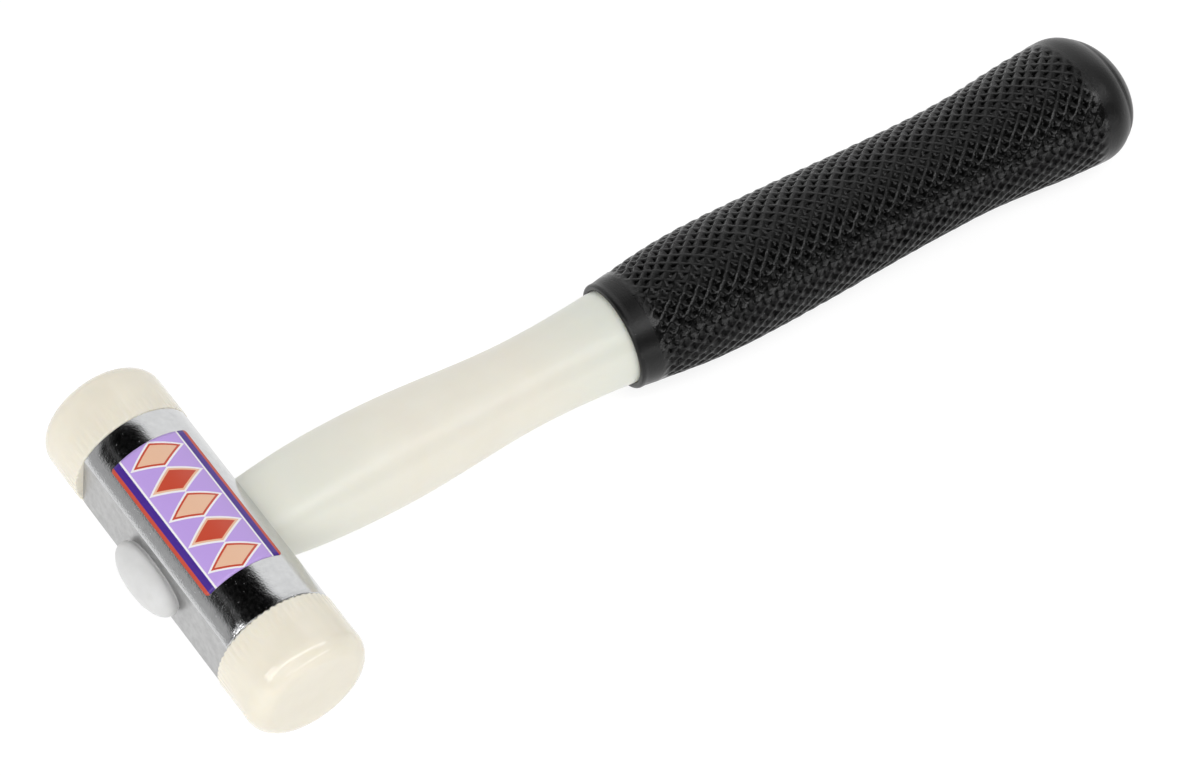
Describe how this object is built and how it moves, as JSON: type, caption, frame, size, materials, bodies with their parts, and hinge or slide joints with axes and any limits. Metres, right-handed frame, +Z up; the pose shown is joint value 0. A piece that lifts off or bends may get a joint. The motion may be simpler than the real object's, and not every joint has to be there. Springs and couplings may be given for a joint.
{
  "type": "soft face hammer",
  "caption": "Two-faced soft hammer with screw-on nylon faces on a plated steel head, a nylon handle locked through the head and a diamond-netted rubber grip.",
  "frame": {"origin": "centre of the underside of the bounding box, with the hammer lying flat on its side", "axes": "+X along the head towards its right face, +Y along the handle from the head to the butt, +Z up from the surface the hammer lies on"},
  "size_m": [0.0954, 0.3034, 0.0321],
  "materials": {
    "plated_head": "bright plated, slightly mottled",
    "face_nylon": "smooth ivory nylon",
    "stud_steel": "zinc plated, threaded",
    "handle_nylon": "satin ivory nylon",
    "button_plastic": "smooth white plastic",
    "grip_rubber": "moulded diamond net",
    "label_film": "printed film"
  },
  "bodies": {
    "hammer": {"head_body": "plated_head", "handle": "handle_nylon", "handle_end_cap": "button_plastic", "grip": "grip_rubber", "head_label": "label_film"},
    "right_stud": {"face_stud_right": "stud_steel"},
    "right_face": {"strike_face_right": "face_nylon"},
    "left_stud": {"face_stud_left": "stud_steel"},
    "left_face": {"strike_face_left": "face_nylon"}
  },
  "joints": [
    {"name": "right_face_travel", "type": "slide", "parent": "hammer", "child": "right_stud", "axis": [1, 0, 0], "range_m": [0, 0.012]},
    {"name": "right_face_turn", "type": "hinge", "parent": "right_stud", "child": "right_face", "pos_m": [0.0308, -0.13125, 0.016], "axis": [1, 0, 0], "range_deg": [0, 2160]},
    {"name": "left_face_travel", "type": "slide", "parent": "hammer", "child": "left_stud", "axis": [-1, 0, 0], "range_m": [0, 0.012]},
    {"name": "left_face_turn", "type": "hinge", "parent": "left_stud", "child": "left_face", "pos_m": [-0.0308, -0.13125, 0.016], "axis": [-1, 0, 0], "range_deg": [0, 2160]}
  ],
  "couplings": [
    {"joint": "right_face_travel", "follows": "right_face_turn", "m_per_rad": 0.00031831},
    {"joint": "left_face_travel", "follows": "left_face_turn", "m_per_rad": 0.00031831}
  ]
}
